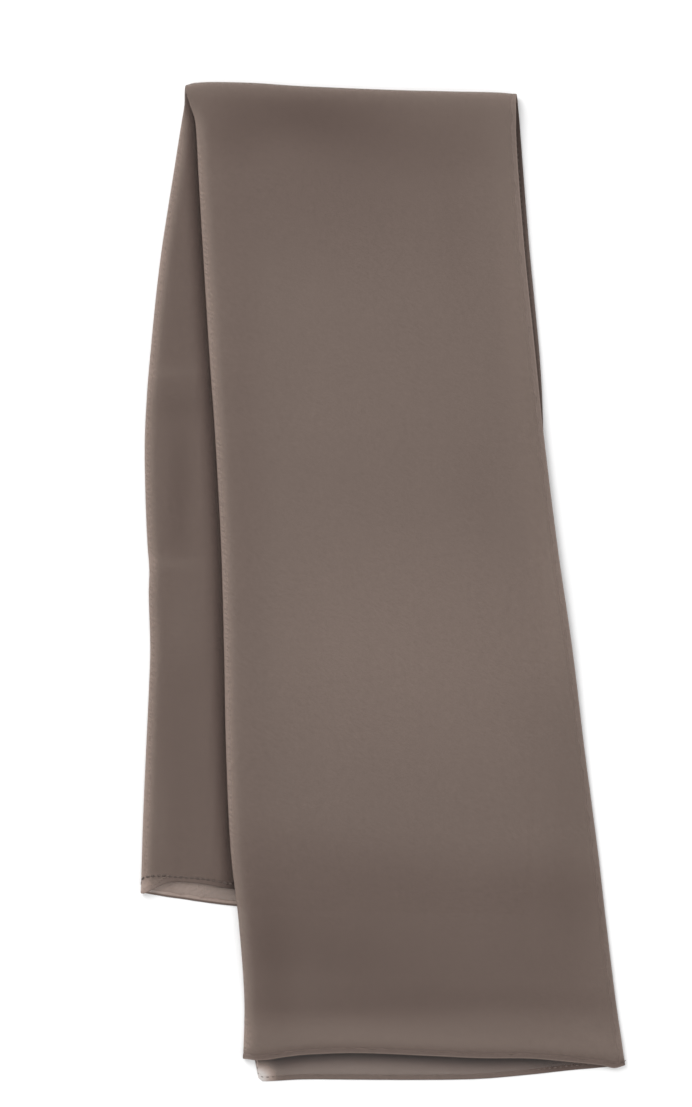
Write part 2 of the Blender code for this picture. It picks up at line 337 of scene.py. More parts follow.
# Painted highlight: the paler band along each run's lengthwise fold, for the light on the fold's round edge.
# The front run's grows below the crosswise fold.
FRONT_PAINTED_HIGHLIGHT = Fade(strength=0.52, reach=14)
FRONT_HIGHLIGHT_FROM = 10
FRONT_HIGHLIGHT_OVER = 40
BACK_PAINTED_HIGHLIGHT = Fade(strength=0.85, reach=13)
# The shade on the back run beside the front run's fold
ROLL_SHADE = Fade(strength=-0.68, reach=17)
# The shade on the front run's inner layer under the edge of its outer one. It loses a share of it where the
# mouth closes, which is from one share of the width on and over another.
FOOT_SHADE = Fade(strength=-0.82, reach=18)
MOUTH_CLOSES_FROM = 0.78
MOUTH_CLOSES_OVER = 0.15
SHADE_LOST_THERE = 0.7
# A darker band along the sewn line on the front run's outer layer, and how far up from the foot it is
SEAM_SHADE = Fade(strength=-0.22, reach=8)
SEAM_UP = 4.5
# Painted light: the strip where the back run's outer layer shows alone, below its inner one, is made paler
# for the light that comes through the single layer
LONE_LAYER_LIGHT = Fade(strength=0.9, reach=14)
LONE_LAYER_OVER = 12
# Painted light: the left end of the front run's inner layer, where it shows alone, is made much paler towards
# its edge for the light that comes through it
LONE_END_LIGHT = Fade(strength=4.5, reach=25)
LONE_END_X = -127.0
LONE_END_OVER = 4


def mix(a: Values, b: Values, share: Values) -> Values:
    """The value that share of the way from a to b.

    Args:
        a: The value at share 0, a number or an array.
        b: The value at share 1, a number or an array.
        share: How far from a to b, a number or an array.

    Returns:
        The value in between, in the shape that the three make together.
    """
    return a + (b - a) * share


def ease(share: Values) -> Values:
    """0 to 1 as share goes from 0 to 1, level at both ends."""
    held = np.clip(share, 0.0, 1.0)
    return held * held * (3 - 2 * held)


def read(rows: Sequence[NamedTuple], key: str, at: np.ndarray, column: str) -> np.ndarray:
    """A smooth reading of a table's column where its key column has the given values.

    Args:
        rows: The table, in the order of its key column.
        key: The name of the key column.
        at: The values of the key column to read at.
        column: The name of the column that is read.

    Returns:
        The column's values there, held at the table's ends.
    """
    keys = np.array([getattr(row, key) for row in rows], float)
    values = np.array([getattr(row, column) for row in rows], float)
    held = np.clip(at, keys[0], keys[-1])
    after = np.clip(np.searchsorted(keys, held), 1, len(keys) - 1)
    before = after - 1
    low = np.maximum(np.arange(len(keys)) - 1, 0)
    high = np.minimum(np.arange(len(keys)) + 1, len(keys) - 1)
    slopes = (values[high] - values[low]) / (keys[high] - keys[low])
    span = keys[after] - keys[before]
    t = (held - keys[before]) / span
    return (
        (2 * t**3 - 3 * t**2 + 1) * values[before]
        + (t**3 - 2 * t**2 + t) * span * slopes[before]
        + (3 * t**2 - 2 * t**3) * values[after]
        + (t**3 - t**2) * span * slopes[after]
    )


def creases_at(creases: Sequence[Crease], x: np.ndarray, down: np.ndarray, column: str) -> np.ndarray:
    """What a table of creases adds to the form or to the painted light and shade.

    Args:
        creases: The table of soft ridges and troughs.
        x: X of each point, in metres.
        down: Each point's distance down from the top of the crosswise fold, in metres.
        column: The name of the column that is read, the height or the shade.

    Returns:
        The sum of the column's values at each point, each eased out to nothing at its crease's ends.
    """
    total = np.zeros(np.broadcast(x, down).shape)
    for crease in creases:
        turn = math.radians(crease.angle)
        right = x / MM - crease.x
        below = down / MM - crease.down
        along = np.abs(right * math.cos(turn) - below * math.sin(turn)) / crease.half_length
        beside = np.abs(right * math.sin(turn) + below * math.cos(turn)) / crease.half_width
        total += getattr(crease, column) * ease(1 - along) * ease(1 - beside)
    return total


@dataclass(frozen=True)
class Columns:
    """Columns of the cut: the layer, the share of its panel from the fold, and how far past the panel."""

    layer: np.ndarray
    share: np.ndarray
    past: np.ndarray


@dataclass(frozen=True)
class Rows:
    """Rows of one stretch: the share of its length from the top, and how far past its foot seam.

    The distance past the seam is one number for each row, or one for each row and column.
    """

    stretch: Stretch
    share: np.ndarray
    past: np.ndarray


@dataclass(frozen=True)
class FoldedLay:
    """How the cut is folded and laid: bends columns and rows of the cut to points in the row frame."""

    half_width: float = 375 * MM
    hem_width: float = 6.4 * MM
    resting_height: float = 0.55 * MM
    layer_pitch: float = 2.2 * MM
    run_pitch: float = 1.8 * MM
    back_outer_short: float = 6.0 * MM
    front_inner_short: float = 3.0 * MM
    slips_over: float = 90 * MM
    roll_width_to_height: float = 0.75
    roll_fills_over: float = 110 * MM
    reach_outer: float = 8.4 * MM
    reach_inner: float = 6.2 * MM
    crest_falls_over: float = 75 * MM
    crest_settles_over: float = 210 * MM
    crest_settles_share: float = 0.5
    step_down_at: float = 822 * MM
    step_down_over: float = 92 * MM
    side_step_at: float = 14 * MM
    side_step_over: float = 46 * MM
    mouth_lift: float = 3.5 * MM
    mouth_length: float = 48 * MM
    ridges_under_front: float = 0.2
    ridges_fade_over: float = 40 * MM
    creases_begin_over: float = 20 * MM
    top_y: float = 489.0 * MM

    def side(self, sides: Sequence[Outline], down: np.ndarray, which: str) -> np.ndarray:
        """X of a run's left or right side at these distances down."""
        return read(sides, "down", down / MM, which) * MM

    def ridges(self, table: Sequence[Ridge], down: np.ndarray) -> np.ndarray:
        """The height that a table of crosswise waves adds at these distances down."""
        return sum(r.height * ease(1 - np.abs(down / MM - r.down) / r.half_length) for r in table) * MM

    def filled_to(self, height: float, down: np.ndarray) -> np.ndarray:
        """A height of the roll, given in millimetres for where it is full, at these distances down."""
        return mix(self.layer_pitch, height * MM, ease((down - self.reach_outer) / self.roll_fills_over))

    def roll_width(self, roll: Roll, down: np.ndarray) -> np.ndarray:
        """How far the roll's round edge reaches out from the flat layers."""
        return self.roll_width_to_height * self.filled_to(roll.round_height, down)

    def layers_apart(self, roll: Roll, down: np.ndarray, from_side: np.ndarray) -> np.ndarray:
        """The distance between a run's two layers, over the roll's crown to where they lie together.

        Args:
            roll: The run's lengthwise fold.
            down: The distance down from the top of the crosswise fold.
            from_side: The distance in from the run's left side.

        Returns:
            The distance between the middles of the two layers.
        """
        edge = self.roll_width(roll, down)
        crown_at = roll.crown_at * MM
        risen = np.sin(np.clip((from_side - edge) / (crown_at - edge), 0.0, 1.0) * math.pi / 2)
        settled = ease((from_side - crown_at) / (roll.settles_over * MM))
        crown = mix(self.filled_to(roll.round_height, down), self.filled_to(roll.crown_height, down), risen)
        return mix(crown, self.layer_pitch, settled)

    def back_inner_height(self, x: np.ndarray, down: np.ndarray) -> np.ndarray:
        """Z of the back run's inner layer, which lies on its outer layer.

        Args:
            x: X of each point.
            down: Each point's distance down from the top of the crosswise fold.

        Returns:
            Z at each point.
        """
        from_side = x - self.side(BACK_SIDES, down, "left")
        lying = self.resting_height + self.layers_apart(BACK_ROLL, down, from_side)
        under_front = ease((x - self.side(FRONT_SIDES, down, "left")) / self.ridges_fade_over)
        return lying + self.ridges(BACK_RIDGES, down) * mix(1.0, self.ridges_under_front, under_front)

    def on_back_run(self, x: np.ndarray, down: np.ndarray) -> np.ndarray:
        """How far the front run lies on the back run, and not on the table.

        Args:
            x: X of each point.
            down: Each point's distance down from the top of the crosswise fold.

        Returns:
            1 on the back run, falling to 0 on the table.
        """
        past_foot = (down - self.step_down_at) / self.step_down_over
        past_side = (x - self.side(BACK_SIDES, down, "right") - self.side_step_at) / self.side_step_over
        return (1 - ease(past_foot)) * (1 - ease(past_side))

    def front_inner_height(self, x: np.ndarray, down: np.ndarray) -> np.ndarray:
        """Z of the front run's inner layer, before the crosswise fold lifts it."""
        lying = self.back_inner_height(x, down) + self.run_pitch
        return mix(self.resting_height, lying, self.on_back_run(x, down))

    def puff(self, across: np.ndarray, down: np.ndarray, to_foot: np.ndarray) -> np.ndarray:
        """How far the front run's outer layer stands off the inner one, between its two closed sides."""
        mouth = self.mouth_lift * ease(1 - to_foot / self.mouth_length)
        return np.sin(math.pi * across) * (self.ridges(FRONT_RIDGES, down) + mouth)

    def across(self, columns: Columns) -> np.ndarray:
        """The share of the folded width that each column lies at."""
        return (columns.share * (self.half_width - self.hem_width) + columns.past) / self.half_width

    def turn_start(self, across: np.ndarray) -> np.ndarray:
        """The distance down at which the crosswise fold begins to turn."""
        return read(TOP_CREST, "across", across, "down") * MM + self.reach_outer

    def turn_heights(self, across: np.ndarray) -> dict[str, np.ndarray]:
        """Z of each layer where the crosswise fold begins and ends."""
        front_outer = read(TOP_CREST, "across", across, "rise") * MM
        return {
            "front_outer": front_outer,
            "front_inner": front_outer - self.layer_pitch,
            "back_inner": self.resting_height + self.layer_pitch,
            "back_outer": self.resting_height,
        }

    def x_of(self, stretch: Stretch, down: np.ndarray, columns: Columns) -> np.ndarray:
        """X of columns in a run, whose hidden layer stops short of its shown one away from the top.

        Args:
            stretch: The front or the back run.
            down: The distance down from the top of the crosswise fold.
            columns: The columns of the cut.

        Returns:
            X at each distance down, for each column.
        """
        if stretch is Stretch.FRONT:
            sides, roll = FRONT_SIDES, FRONT_ROLL
            short = self.front_inner_short * columns.layer
        else:
            sides, roll = BACK_SIDES, BACK_ROLL
            short = self.back_outer_short * (1 - columns.layer)
        edge = self.roll_width(roll, down)
        slipped = short * ease((down - self.reach_outer) / self.slips_over)
        right = self.side(sides, down, "right") - slipped - self.hem_width
        flat = mix(self.side(sides, down, "left") + edge, right, columns.share) + columns.past
        bulge = 2 * np.sqrt(np.clip(columns.layer * (1 - columns.layer), 0.0, None))
        return flat - edge * bulge

    def foot_at(self, foot: Sequence[Foot], columns: Columns) -> np.ndarray:
        """The distance down at which a run's foot table ends each column."""
        across = self.across(columns)
        outer, inner = (read(foot, "across", across, layer) for layer in ("outer", "inner"))
        return mix(outer, inner, columns.layer) * MM

    def down_of(self, foot: Sequence[Foot], columns: Columns, rows: Rows) -> np.ndarray:
        """The distance down of every row and column in a run.

        Args:
            foot: The table of where the run's layers end.
            columns: The columns of the cut.
            rows: The rows of the run.

        Returns:
            The distance down from the top of the crosswise fold, as rows by columns.
        """
        start = self.turn_start(self.across(columns))
        panel_ends = self.foot_at(foot, columns) - self.hem_width
        past = rows.past if rows.past.ndim == 2 else rows.past[:, None]
        return mix(start, panel_ends, rows.share[:, None]) + past

    def front(self, columns: Columns, rows: Rows) -> np.ndarray:
        """Points of the front run.

        Args:
            columns: The columns of the cut.
            rows: The rows of the run.

        Returns:
            The points, as rows by columns by x, y, z.
        """
        down = self.down_of(FRONT_FOOT, columns, rows)
        x = self.x_of(Stretch.FRONT, down, columns)
        across = self.across(columns)
        left = self.side(FRONT_SIDES, down, "left")
        inner = self.front_inner_height(np.maximum(x, left + self.roll_width(FRONT_ROLL, down)), down)
        apart = self.layers_apart(FRONT_ROLL, down, x - left)
        apart = apart + self.puff(across, down, self.foot_at(FRONT_FOOT, columns) - down)
        crest = self.turn_heights(across)
        past_crest = down - self.turn_start(across)
        fallen = ease(past_crest / self.crest_falls_over)
        settled = ease(past_crest / self.crest_settles_over)
        lifted = 1 - mix(fallen, settled, self.crest_settles_share)
        inner = mix(inner, crest["front_inner"], lifted)
        outer = mix(inner + apart, crest["front_outer"], lifted)
        begun = ease(past_crest / self.creases_begin_over)
        outer = outer + creases_at(FRONT_CREASES, x, down, "height") * MM * begun
        inner = inner + creases_at(BACK_CREASES, x, down, "height") * MM * (1 - lifted)
        return np.stack([x, self.top_y - down, mix(outer, inner, columns.layer)], -1)

    def back(self, columns: Columns, rows: Rows) -> np.ndarray:
        """Points of the back run.

        Args:
            columns: The columns of the cut.
            rows: The rows of the run.

        Returns:
            The points, as rows by columns by x, y, z.
        """
        down = self.down_of(BACK_FOOT, columns, rows)
        x = self.x_of(Stretch.BACK, down, columns)
        inner = self.back_inner_height(x, down)
        inner = inner + creases_at(BACK_CREASES, x, down, "height") * MM
        z = mix(self.resting_height, inner, columns.layer)
        return np.stack([x, self.top_y - down, z], -1)

    def turn(self, columns: Columns, rows: Rows) -> np.ndarray:
        """Points of the crosswise fold, which is half an ellipse.

        Args:
            columns: The columns of the cut.
            rows: The rows of the fold.

        Returns:
            The points, as rows by columns by x, y, z.
        """
        across = self.across(columns)
        start = self.turn_start(across)
        crest = self.turn_heights(across)
        share = rows.share[:, None]
        reach = mix(self.reach_outer, self.reach_inner, columns.layer)
        high = mix(crest["front_outer"], crest["front_inner"], columns.layer)
        low = mix(crest["back_outer"], crest["back_inner"], columns.layer)
        front_x = self.x_of(Stretch.FRONT, start, columns)
        back_x = self.x_of(Stretch.BACK, start, columns)
        x = mix(front_x, back_x, ease(share))
        y = self.top_y - start + reach * np.sin(math.pi * share)
        z = (high + low) / 2 + (high - low) / 2 * np.cos(math.pi * share)
        return np.stack([x, y, z], -1)

    def tone(self, stretch: Stretch, points: np.ndarray, columns: Columns) -> np.ndarray:
        """The light and shade painted into the cloth's colour at points of a stretch, where 1 is the front's
        middle.

        Args:
            stretch: The stretch that the points are in.
            points: The points, as rows by columns by x, y, z.
            columns: The columns of the cut.

        Returns:
            The tone, as rows by columns.
        """
        x, down = points[..., 0], self.top_y - points[..., 1]
        across = np.broadcast_to(self.across(columns), down.shape)
        from_front_side = x - self.side(FRONT_SIDES, down, "left")
        if stretch is not Stretch.BACK:
            # Painted highlight along the front run's fold, and the painted light and shade of its creases
            grown = ease((down - FRONT_HIGHLIGHT_FROM * MM) / (FRONT_HIGHLIGHT_OVER * MM))
            painted_highlight = mix(1.0, FRONT_PAINTED_HIGHLIGHT.at(from_front_side), grown)
            tone = (1 + creases_at(FRONT_CREASES, x, down, "shade")) * painted_highlight
            # Painted shade on the inner layer under the outer layer's foot, painted light at the inner
            # layer's lone end, and the darker band along the outer layer's sewn line
            below_outer = down - read(FRONT_FOOT, "across", across, "outer") * MM
            alone = ease(below_outer / (LONE_END_OVER * MM))
            end = mix(1.0, LONE_END_LIGHT.at(np.maximum(x - LONE_END_X * MM, 0.0)), alone)
            closing = SHADE_LOST_THERE * ease((across - MOUTH_CLOSES_FROM) / MOUTH_CLOSES_OVER)
            under = mix(FOOT_SHADE.at(np.abs(below_outer)), 1.0, closing) * end
            return tone * mix(SEAM_SHADE.at(np.abs(below_outer + SEAM_UP * MM)), under, columns.layer)
        # Painted shade: the back run deeper all over, the light and shade of its creases, a highlight along
        # its own fold and shade beside the front run's fold
        tone = BACK_PAINTED_SHADE * (1 + creases_at(BACK_CREASES, x, down, "shade"))
        tone = tone * BACK_PAINTED_HIGHLIGHT.at(x - self.side(BACK_SIDES, down, "left"))
        tone = tone * mix(1.0, ROLL_SHADE.at(np.abs(from_front_side)), columns.layer)
        # Painted light where the back run's outer layer lies alone below its inner one
        below_inner = down - read(BACK_FOOT, "across", across, "inner") * MM
        alone = ease(below_inner / (LONE_LAYER_OVER * MM))
        lone = mix(LONE_LAYER_LIGHT.at(-below_inner), 1 + LONE_LAYER_LIGHT.strength, alone)
        return tone * mix(lone, 1.0, columns.layer)

    def bend(self, columns: Columns, stretches: Sequence[Rows]) -> tuple[np.ndarray, np.ndarray]:
        """Bends columns, over one stretch after another, to their folded place.

        Args:
            columns: The columns of the cut.
            stretches: The rows of each stretch, in the order of the cut's length.

        Returns:
            The points, as rows by columns by x, y, z, and the painted tone of each.
        """
        bender = {Stretch.FRONT: self.front, Stretch.TURN: self.turn, Stretch.BACK: self.back}
        points = [bender[rows.stretch](columns, rows) for rows in stretches]
        tones = [self.tone(rows.stretch, part, columns) for rows, part in zip(stretches, points)]
        return np.concatenate(points), np.concatenate(tones)


@dataclass(frozen=True)
class Divisions:
    """How finely the cut is divided, closer together at the folds, the hems and the feet."""

    panel_steps: int = 52
    roll_steps: int = 14
    front_rows: int = 190
    turn_rows: int = 22
    back_rows: int = 152
    column_crowding: float = 0.75
    row_crowding: float = 0.5

    def crowded(self, count: int, crowding: float) -> np.ndarray:
        """Shares from 0 to 1, closer together near both ends."""
        even = np.linspace(0.0, 1.0, count + 1)
        return mix(even, (1 - np.cos(math.pi * even)) / 2, crowding)

    def columns(self, past: Sequence[float]) -> Columns:
        """All columns, from the inner layer's edge, round the roll, to the outer layer's edge.

        Args:
            past: Distances past the panel that also get a column, on both layers, from the panel out.

        Returns:
            The columns of the cut.
        """
        panel = self.crowded(self.panel_steps, self.column_crowding)[1:]
        angle = np.linspace(0.0, math.pi, self.roll_steps + 1)
        beyond = np.array(past, float)
        layer = [np.full(len(beyond) + len(panel), 1.0), (1 + np.cos(angle)) / 2]
        layer.append(np.full(len(panel) + len(beyond), 0.0))
        share = [np.ones(len(beyond)), panel[::-1], np.zeros(len(angle)), panel, np.ones(len(beyond))]
        nothing = np.zeros(2 * len(panel) + len(angle))
        return Columns(np.concatenate(layer), np.concatenate(share), np.r_[beyond[::-1], nothing, beyond])

    def length(self, past: Sequence[float]) -> list[Rows]:
        """All rows, from the front run's foot over the crosswise fold to the back run's foot.

        Args:
            past: Distances past each foot seam that also get a row, from the seam out.

        Returns:
            The rows of each stretch, in the order of the cut's length.
        """
        beyond = np.array(past, float)
        front = self.crowded(self.front_rows, self.row_crowding)
        back = self.crowded(self.back_rows, self.row_crowding)
        turn = np.linspace(0.0, 1.0, self.turn_rows + 1)[1:-1]
        ends = np.ones(len(beyond))
        return [
            Rows(Stretch.FRONT, np.r_[ends, front[::-1]], np.r_[beyond[::-1], np.zeros(len(front))]),
            Rows(Stretch.TURN, turn, np.zeros(len(turn))),
            Rows(Stretch.BACK, np.r_[back, ends], np.r_[np.zeros(len(back)), beyond]),
        ]


def feed(node: bpy.types.Node, inputs: Mapping[str | int, object]) -> None:
    """Gives each of a node's inputs its value, or joins it to another node's output.

    Args:
        node: The node.
        inputs: A value or another node's output for each input, by the input's name or number.
    """
    for name, given in inputs.items():
        if isinstance(given, bpy.types.NodeSocket):
            node.id_data.links.new(given, node.inputs[name])
        else:
            node.inputs[name].default_value = given


def add_node(
    tree: bpy.types.NodeTree, kind: str, inputs: Mapping[str | int, object] | None = None, **settings: str
) -> bpy.types.Node:
    """Adds a node to a tree.

    Args:
        tree: The node tree.
        kind: What kind of node it is.
        inputs: A value or another node's output for some of its inputs.
        settings: The node's own settings, which aren't inputs.

    Returns:
        The node.
    """
    node = tree.nodes.new(kind)
    for name, setting in settings.items():
        setattr(node, name, setting)
    feed(node, inputs or {})
    return node


def new_material(name: str, roughness: float) -> tuple[bpy.types.Material, bpy.types.Node]:
    """A material that isn't metal.

    Args:
        name: The material's name.
        roughness: How rough its surface is.

    Returns:
        The material, and its shader.
    """
    made = bpy.data.materials.new(name)
    made.use_nodes = True
    shader = made.node_tree.nodes["Principled BSDF"]
    feed(shader, {"Roughness": roughness, "Metallic": 0.0})
    return made, shader


class Tint(NamedTuple):
    """The hue of the painted light and shade: what the dye's red, green and blue are multiplied by where the
    painted tone has this value.
    """

    tone: float
    hue: tuple[float, float, float]


@dataclass(frozen=True)
class ChiffonFinish:
    """Sheer crepe chiffon: a matte, grainy cloth that lets a little light through, with the light and shade
    of its tone attribute painted into its colour.
    """

    name: str
    colour: tuple[float, float, float] = (0.214, 0.163, 0.139)
    # Warmer in the deepest painted shade, and cooler in the strongest painted light
    tints: tuple[Tint, ...] = (
        Tint(tone=0.4, hue=(1.09, 0.99, 0.98)),
        Tint(tone=1.0, hue=(1.0, 1.0, 1.0)),
        Tint(tone=1.7, hue=(1.0, 1.0, 1.0)),
        Tint(tone=4.0, hue=(0.87, 1.055, 1.18)),
    )
    opacity: float = 0.58
    roughness: float = 0.78
    specular: float = 0.2
    cloudiness: float = 0.035
    cloud_size: float = 40 * MM
    cloud_stretch: float = 1.6
    cloud_detail: float = 2.0
    grain: float = 0.36
    grain_size: float = 2.3 * MM
    grain_stretch: float = 2.6
    grain_detail: float = 3.0
    bias_degrees: float = 34.0
    yarn_pitch: float = 0.45 * MM
    yarn_spread: float = 0.12
    yarn_wander: float = 1.2
    bump_depth: float = 0.1 * MM
    bump_strength: float = 0.2

    def material(self) -> bpy.types.Material:
        """Makes the material, with its patterns laid out on the cut.

        Returns:
            The material for the cloth or a hem.
        """
        made, shader = new_material(self.name, self.roughness)
        tree = made.node_tree
        on_cut = add_node(tree, "ShaderNodeUVMap", uv_map=CUT_UV).outputs["UV"]
        # The painted light and shade, from the mesh's tone attribute
        tone = add_node(tree, "ShaderNodeAttribute", attribute_name=TONE).outputs["Fac"]

        def pattern(kind: str, label: str, size: tuple[float, float], turn: float = 0.0) -> bpy.types.Node:
            """A texture on the cut, turned and then sized in metres.

            Args:
                kind: What kind of texture it is.
                label: What it is called.
                size: Its size both ways across the cut, in metres.
                turn: How far it is turned, in degrees.

            Returns:
                The texture's node.
            """
            turning = {"Vector": on_cut, "Rotation": (0.0, 0.0, math.radians(turn))}
            turned = add_node(tree, "ShaderNodeMapping", turning, label=f"{label} placing")
            sizing = {"Vector": turned.outputs["Vector"], "Scale": (1 / size[0], 1 / size[1], 1.0)}
            sized = add_node(tree, "ShaderNodeMapping", sizing, label=f"{label} size")
            return add_node(tree, kind, {"Vector": sized.outputs["Vector"]}, label=label)

        def around_one(source: bpy.types.NodeSocket, spread: float) -> bpy.types.NodeSocket:
            """A pattern's 0 to 1 made a factor of 1 minus to 1 plus half the spread."""
            factor = {"Value": source, "To Min": 1 - spread / 2, "To Max": 1 + spread / 2}
            return add_node(tree, "ShaderNodeMapRange", factor).outputs["Result"]

        def times(a: bpy.types.NodeSocket, b: bpy.types.NodeSocket) -> bpy.types.NodeSocket:
            """The product of two factors."""
            return add_node(tree, "ShaderNodeMath", {0: a, 1: b}, operation="MULTIPLY").outputs["Value"]

        cloud = (self.cloud_size, self.cloud_size * self.cloud_stretch)
        clouds = pattern("ShaderNodeTexNoise", "clouds", cloud)
        feed(clouds, {"Scale": 1.0, "Detail": self.cloud_detail})
        crepe = (self.grain_size * self.grain_stretch, self.grain_size)
        grain = pattern("ShaderNodeTexNoise", "crepe grain", crepe, self.bias_degrees)
        feed(grain, {"Scale": 1.0, "Detail": self.grain_detail})
        pitch = (self.yarn_pitch, self.yarn_pitch)
        warp = pattern("ShaderNodeTexWave", "warp yarns", pitch)
        weft = pattern("ShaderNodeTexWave", "weft yarns", pitch)
        weft.bands_direction = "Y"
        for yarns in (warp, weft):
            feed(yarns, {"Scale": ONE_BAND_TO_A_UNIT, "Distortion": self.yarn_wander, "Detail": 1.0})

        # The colour's depth: the painted light and shade, times the cloth's own clouds, crepe grain and weave
        depth = times(tone, around_one(clouds.outputs["Fac"], self.cloudiness))
        depth = times(depth, around_one(grain.outputs["Fac"], self.grain))
        weave = times(warp.outputs["Fac"], weft.outputs["Fac"])
        depth = times(depth, around_one(weave, self.yarn_spread))
        # A ramp over the tone makes the painted shade warmer and the strongest painted light cooler
        palest = self.tints[-1].tone
        ranged = add_node(tree, "ShaderNodeMapRange", {"Value": tone, "From Max": palest})
        hue = add_node(tree, "ShaderNodeValToRGB", {"Fac": ranged.outputs["Result"]})
        stops = hue.color_ramp.elements
        while len(stops) < len(self.tints):
            stops.new(0.5)
        for stop, tint in zip(stops, self.tints):
            stop.position = tint.tone / palest
            stop.color = (*(part * share for part, share in zip(self.colour, tint.hue)), 1.0)
        dye = {0: hue.outputs["Color"], "Scale": depth}
        dyed = add_node(tree, "ShaderNodeVectorMath", dye, operation="SCALE")
        relief = {"Strength": self.bump_strength, "Distance": self.bump_depth, "Height": grain.outputs["Fac"]}
        bump = add_node(tree, "ShaderNodeBump", relief)
        feed(shader, {"Alpha": self.opacity, "Specular IOR Level": self.specular})
        feed(shader, {"Base Color": dyed.outputs["Vector"], "Normal": bump.outputs["Normal"]})
        return made


@dataclass(frozen=True)
class ThreadFinish:
    """Sewing thread, a little darker than the cloth that it holds down."""

    name: str = "hem_thread"
    colour: tuple[float, float, float] = (0.110, 0.083, 0.071)
    roughness: float = 0.6
    sheen: float = 0.2
    twist_pitch: float = 0.7 * MM
    twist_spread: float = 0.3

    def material(self) -> bpy.types.Material:
        """Makes the material, with the thread's twist as fine bands.

        Returns:
            The material for the lines of stitches.
        """
        made, shader = new_material(self.name, self.roughness)
        tree = made.node_tree
        place = add_node(tree, "ShaderNodeTexCoord").outputs["Object"]
        bands = {"Vector": place, "Scale": ONE_BAND_TO_A_UNIT / self.twist_pitch}
        twist = add_node(tree, "ShaderNodeTexWave", bands, bands_direction="DIAGONAL").outputs["Fac"]
        factor = {"Value": twist, "To Min": 1 - self.twist_spread, "To Max": 1 + self.twist_spread}
        ranged = add_node(tree, "ShaderNodeMapRange", factor)
        dye = {0: self.colour, "Scale": ranged.outputs["Result"]}
        dyed = add_node(tree, "ShaderNodeVectorMath", dye, operation="SCALE")
        feed(shader, {"Sheen Weight": self.sheen, "Base Color": dyed.outputs["Vector"]})
        return made


def lengths_along(points: np.ndarray, axis: int) -> np.ndarray:
    """The mean distance along a grid's rows or columns, from its first to each one.

    Args:
        points: The grid, as rows by columns by x, y, z.
        axis: 0 for the distance from row to row, 1 for that from column to column.

    Returns:
        One distance for each row or column.
    """
    steps = np.linalg.norm(np.diff(points, axis=axis), axis=-1).mean(axis=1 - axis)
    return np.r_[0.0, np.cumsum(steps)]


def normals_of(points: np.ndarray) -> np.ndarray:
    """The direction that a grid of points faces, out of the fold.

    Args:
        points: The grid, as rows by columns by x, y, z.

    Returns:
        The facing direction at each point.
    """
    across = np.gradient(points, axis=1)
    along = np.gradient(points, axis=0)
    facing = np.cross(across, along)
    return facing / np.linalg.norm(facing, axis=-1, keepdims=True)


def mesh_from(
    name: str, points: np.ndarray, faces: list, cut: np.ndarray, tones: np.ndarray
) -> bpy.types.Mesh:
    """A smooth mesh with its place on the cut as a UV map, and its tone as an attribute.

    Args:
        name: The mesh's name.
        points: The points, one to a line.
        faces: The faces, as lists of point numbers.
        cut: Each point's place on the cut, in metres.
        tones: Each point's painted tone.

    Returns:
        The mesh.
    """
    mesh = bpy.data.meshes.new(name)
    mesh.from_pydata(points.tolist(), [], faces)
    corners = np.zeros(len(mesh.loops), np.int32)
    mesh.loops.foreach_get("vertex_index", corners)
    laid_out = mesh.uv_layers.new(name=CUT_UV)
    laid_out.data.foreach_set("uv", cut[corners].astype(np.float32).ravel())
    tone = mesh.attributes.new(TONE, "FLOAT", "POINT")
    tone.data.foreach_set("value", tones.astype(np.float32))
    mesh.shade_smooth()
    return mesh


def placed(name: str, mesh: bpy.types.Mesh) -> bpy.types.Object:
    """Puts a mesh in the scene, at the origin.

    Args:
        name: The object's name.
        mesh: The mesh.

    Returns:
        The object.
    """
    piece = bpy.data.objects.new(name, mesh)
    bpy.context.scene.collection.objects.link(piece)
    return piece


def made_plain(piece: bpy.types.Object) -> bpy.types.Object:
    """Turns an object's modifiers into a plain mesh of the same name.

    Args:
        piece: The object with its modifiers.

    Returns:
        A new object with the result as its mesh, and no modifier.
    """
    name = piece.name
    seen = piece.evaluated_get(bpy.context.evaluated_depsgraph_get())
    mesh = bpy.data.meshes.new_from_object(seen)
    bpy.data.objects.remove(piece)
    mesh.name = name
    return placed(name, mesh)


@dataclass
class ScarfCloth:
    """The scarf's cloth: one thin sheet, from foot to foot and from long edge to long edge."""

    lay: FoldedLay
    divisions: Divisions
    finish: ChiffonFinish
    name: str = "scarf_cloth"
    thickness: float = 0.35 * MM
    tucked_in: float = 1.4 * MM
    nodes: tuple[str, ...] = ("front_run", "top_fold", "back_run")

    def mesh(self) -> bpy.types.Mesh:
        """The middle of the cloth as a grid, up to just inside its hems.

        Returns:
            The mesh, without its thickness.
        """
        past = (self.lay.hem_width / 2, self.lay.hem_width - self.tucked_in)
        points, tones = self.lay.bend(self.divisions.columns(past), self.divisions.length(past))
        rows, columns = points.shape[:2]
        index = np.arange(rows * columns).reshape(rows, columns)
        corners = (index[:-1, :-1], index[:-1, 1:], index[1:, 1:], index[1:, :-1])
        faces = np.stack(corners, -1).reshape(-1, 4).tolist()
        width, length = lengths_along(points, 1), lengths_along(points, 0)
        cut = np.stack(np.meshgrid(width, length), -1).reshape(-1, 2)
        return mesh_from(self.name, points.reshape(-1, 3), faces, cut, tones.ravel())

    def build(self) -> bpy.types.Object:
        """Makes the sheet, gives it its thickness and dresses it.

        Returns:
            The cloth, riding on the scarf's body in place of its three solids.
        """
        mesh = self.mesh()
        mesh.materials.append(self.finish.material())
        piece = placed(self.name, mesh)
        thicken = piece.modifiers.new("thickness", "SOLIDIFY")
        thicken.thickness = self.thickness
        thicken.offset = 0.0
        piece = made_plain(piece)
        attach(piece, "root")
        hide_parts(*self.nodes)
        log.info("%s: %d faces, from foot to foot", self.name, len(piece.data.polygons))
        return piece


